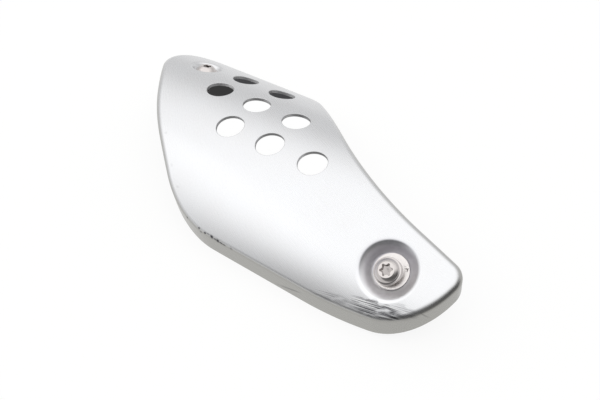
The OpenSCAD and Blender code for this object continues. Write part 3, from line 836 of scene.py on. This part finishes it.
studio = {
    "floorColour": "#f1f1ef", "floorGlow": 0.88, "floorSize": 60000.0,
    "mirroredNear": 0.97, "mirroredFar": 0.25, "fallFrom": 130.0, "fallTo": 190.0,
    "shadeLevel": 0.3, "shadeInset": 3.0, "shadeLift": 0.05, "shadeTaperFrom": 70.0, "shadeTaper": 0.25,
    "cornerPlace": (-97.0, 47.0, 0.0), "cornerReach": 13.0, "cornerFade": 6.0, "cornerShadowLevel": 0.042,
    "lamp": {"place": (-0.8, -0.56, 0.69), "aim": (0, 0, 0), "size": 1.0, "power": 0.55},  # metres and watts
    # pale room, brighter overhead, with an unlit side behind the camera that ends higher up
    "roomLevel": 0.84, "ceilingGain": 0.66, "ceilingFrom": 0.29, "ceilingTo": 0.88,
    "darkSide": (0.7, -0.714, 0.0), "darkDepth": 0.68, "darkFrom": -0.02, "darkTo": 0.6,
    "darkLow": 0.45, "darkHigh": 0.85,
}

lampData = bpy.data.lights.new("sideSoftbox", "AREA")
lampData.shape = "SQUARE"
lampData.size = studio["lamp"]["size"]
lampData.energy = studio["lamp"]["power"]
lamp = bpy.data.objects.new("sideSoftbox", lampData)
lamp.location = studio["lamp"]["place"]
lampWay = Vector(studio["lamp"]["aim"]) - Vector(studio["lamp"]["place"])
lamp.rotation_euler = lampWay.to_track_quat("-Z", "Y").to_euler()
bpy.context.scene.collection.objects.link(lamp)

floorMaterial, tree = newMaterial("paintedStudioFloor")
rays = addNode(tree, "LightPath")
place = addNode(tree, "TexCoord")
# the floor that the metal mirrors is greyer than the floor seen, and falls off towards the unlit side
ahead = addNode(tree, "VectorMath", {"operation": "DOT_PRODUCT"}, {1: studio["darkSide"]},
                {0: place.outputs["Object"]})
ahead = addNode(tree, "MapRange", softStep,
                {"From Min": studio["fallFrom"] * mm, "From Max": studio["fallTo"] * mm,
                 "To Min": studio["mirroredNear"], "To Max": studio["mirroredFar"]},
                {"Value": ahead.outputs["Value"]})
strength = addNode(tree, "Mix", None, {2: 1.0}, {0: rays.outputs["Is Glossy Ray"], 3: ahead})
glow = addNode(tree, "Emission", None, {"Color": (1, 1, 1, 1)}, {"Strength": strength})
matt = addNode(tree, "BsdfDiffuse", None, {"Color": linear(studio["floorColour"])})
seen = strongest(tree, [rays.outputs["Is Camera Ray"], rays.outputs["Is Transmission Ray"]])
seen = addNode(tree, "Math", {"operation": "MULTIPLY"}, {1: studio["floorGlow"]}, {0: seen})
seen = strongest(tree, [seen, rays.outputs["Is Glossy Ray"]])
both = addNode(tree, "MixShader", None, None, {0: seen, 1: matt, 2: glow})
addNode(tree, "OutputMaterial", None, None, {"Surface": both})
half = studio["floorSize"] / 2
floorCorners = [(-half, -half, 0), (half, -half, 0), (half, half, 0), (-half, half, 0)]
floor = makeObject("studioFloor", floorCorners, [(0, 1, 2, 3)], floorMaterial)

# the floor inside the rim gets no studio light: a staged sheet that glows dimly as painted shade for all but
# the camera; seen through a vent it is pale, but for one corner with a painted shadow
shadeMaterial, tree = newMaterial("shadedStudioFloor")
rays = addNode(tree, "LightPath")
place = addNode(tree, "TexCoord")
cornerShadow = addNode(tree, "VectorMath", {"operation": "DISTANCE"}, {1: [c * mm for c in studio["cornerPlace"]]},
                 {0: place.outputs["Object"]})
cornerShadow = addNode(tree, "MapRange", softStep,
                 {"From Min": studio["cornerReach"] * mm,
                  "From Max": (studio["cornerReach"] + studio["cornerFade"]) * mm,
                  "To Min": studio["cornerShadowLevel"]}, {"Value": cornerShadow.outputs["Value"]})
strength = addNode(tree, "Mix", None, {2: studio["shadeLevel"]},
                   {0: rays.outputs["Is Camera Ray"], 3: cornerShadow})
glow = addNode(tree, "Emission", None, {"Color": (1, 1, 1, 1)}, {"Strength": strength})
addNode(tree, "OutputMaterial", None, None, {"Surface": glow})
inset = studio["shadeInset"]
shade = []
for x, y, outX, outY in outlinePoints():
    taper = max(x - studio["shadeTaperFrom"], 0) * studio["shadeTaper"]
    shade.append((x - inset * outX - taper, y - inset * outY, studio["shadeLift"]))
shadedFloor = makeObject("shadedFloor", shade, [tuple(range(len(shade)))], shadeMaterial)

world = bpy.data.worlds.new("studioRoom")
bpy.context.scene.world = world
world.use_nodes = True
tree = world.node_tree
tree.nodes.clear()
way = addNode(tree, "TexCoord").outputs["Generated"]
height = addNode(tree, "SeparateXYZ", None, None, {0: way}).outputs[2]
ceiling = addNode(tree, "MapRange", softStep,
                  {"From Min": studio["ceilingFrom"], "From Max": studio["ceilingTo"],
                   "To Min": studio["roomLevel"], "To Max": studio["roomLevel"] + studio["ceilingGain"]},
                  {"Value": height})
behind = addNode(tree, "VectorMath", {"operation": "DOT_PRODUCT"}, {1: studio["darkSide"]}, {0: way})
behind = addNode(tree, "MapRange", softStep,
                 {"From Min": studio["darkFrom"], "From Max": studio["darkTo"],
                  "To Min": 0.0, "To Max": studio["darkDepth"]}, {"Value": behind.outputs["Value"]})
below = addNode(tree, "MapRange", softStep,
                {"From Min": studio["darkLow"], "From Max": studio["darkHigh"], "To Min": 1.0, "To Max": 0.0},
                {"Value": height})
dark = addNode(tree, "Math", {"operation": "MULTIPLY"}, None, {0: behind, 1: below})
level = addNode(tree, "Math", {"operation": "SUBTRACT"}, None, {0: ceiling, 1: dark})
background = addNode(tree, "Background", None, {"Color": (1, 1, 1, 1)}, {"Strength": level})
addNode(tree, "OutputWorld", None, None, {"Surface": background})
print("studio lit")

view = {  # place in millimetres, and the ways to the right, up and back out of the picture
    "lens": 39.701, "sensor": 36.0, "nearest": 0.01, "place": (183.291, -184.084, 277.954),
    "right": (0.796761, 0.593455, -0.113942), "up": (-0.387444, 0.64638, 0.657328),
    "back": (0.463744, -0.479587, 0.744941),
}
cameraData = bpy.data.cameras.new("photoCamera")
cameraData.lens = view["lens"]
cameraData.sensor_width = view["sensor"]
cameraData.sensor_fit = "HORIZONTAL"
cameraData.clip_start = view["nearest"]
camera = bpy.data.objects.new("photoCamera", cameraData)
matrix = Matrix((view["right"], view["up"], view["back"])).transposed().to_4x4()
matrix.translation = Vector(view["place"]) * mm
camera.matrix_world = matrix
bpy.context.scene.collection.objects.link(camera)
bpy.context.scene.camera = camera
bpy.context.scene.view_settings.view_transform = "Standard"

bpy.context.view_layer.update()
print("scene ready")
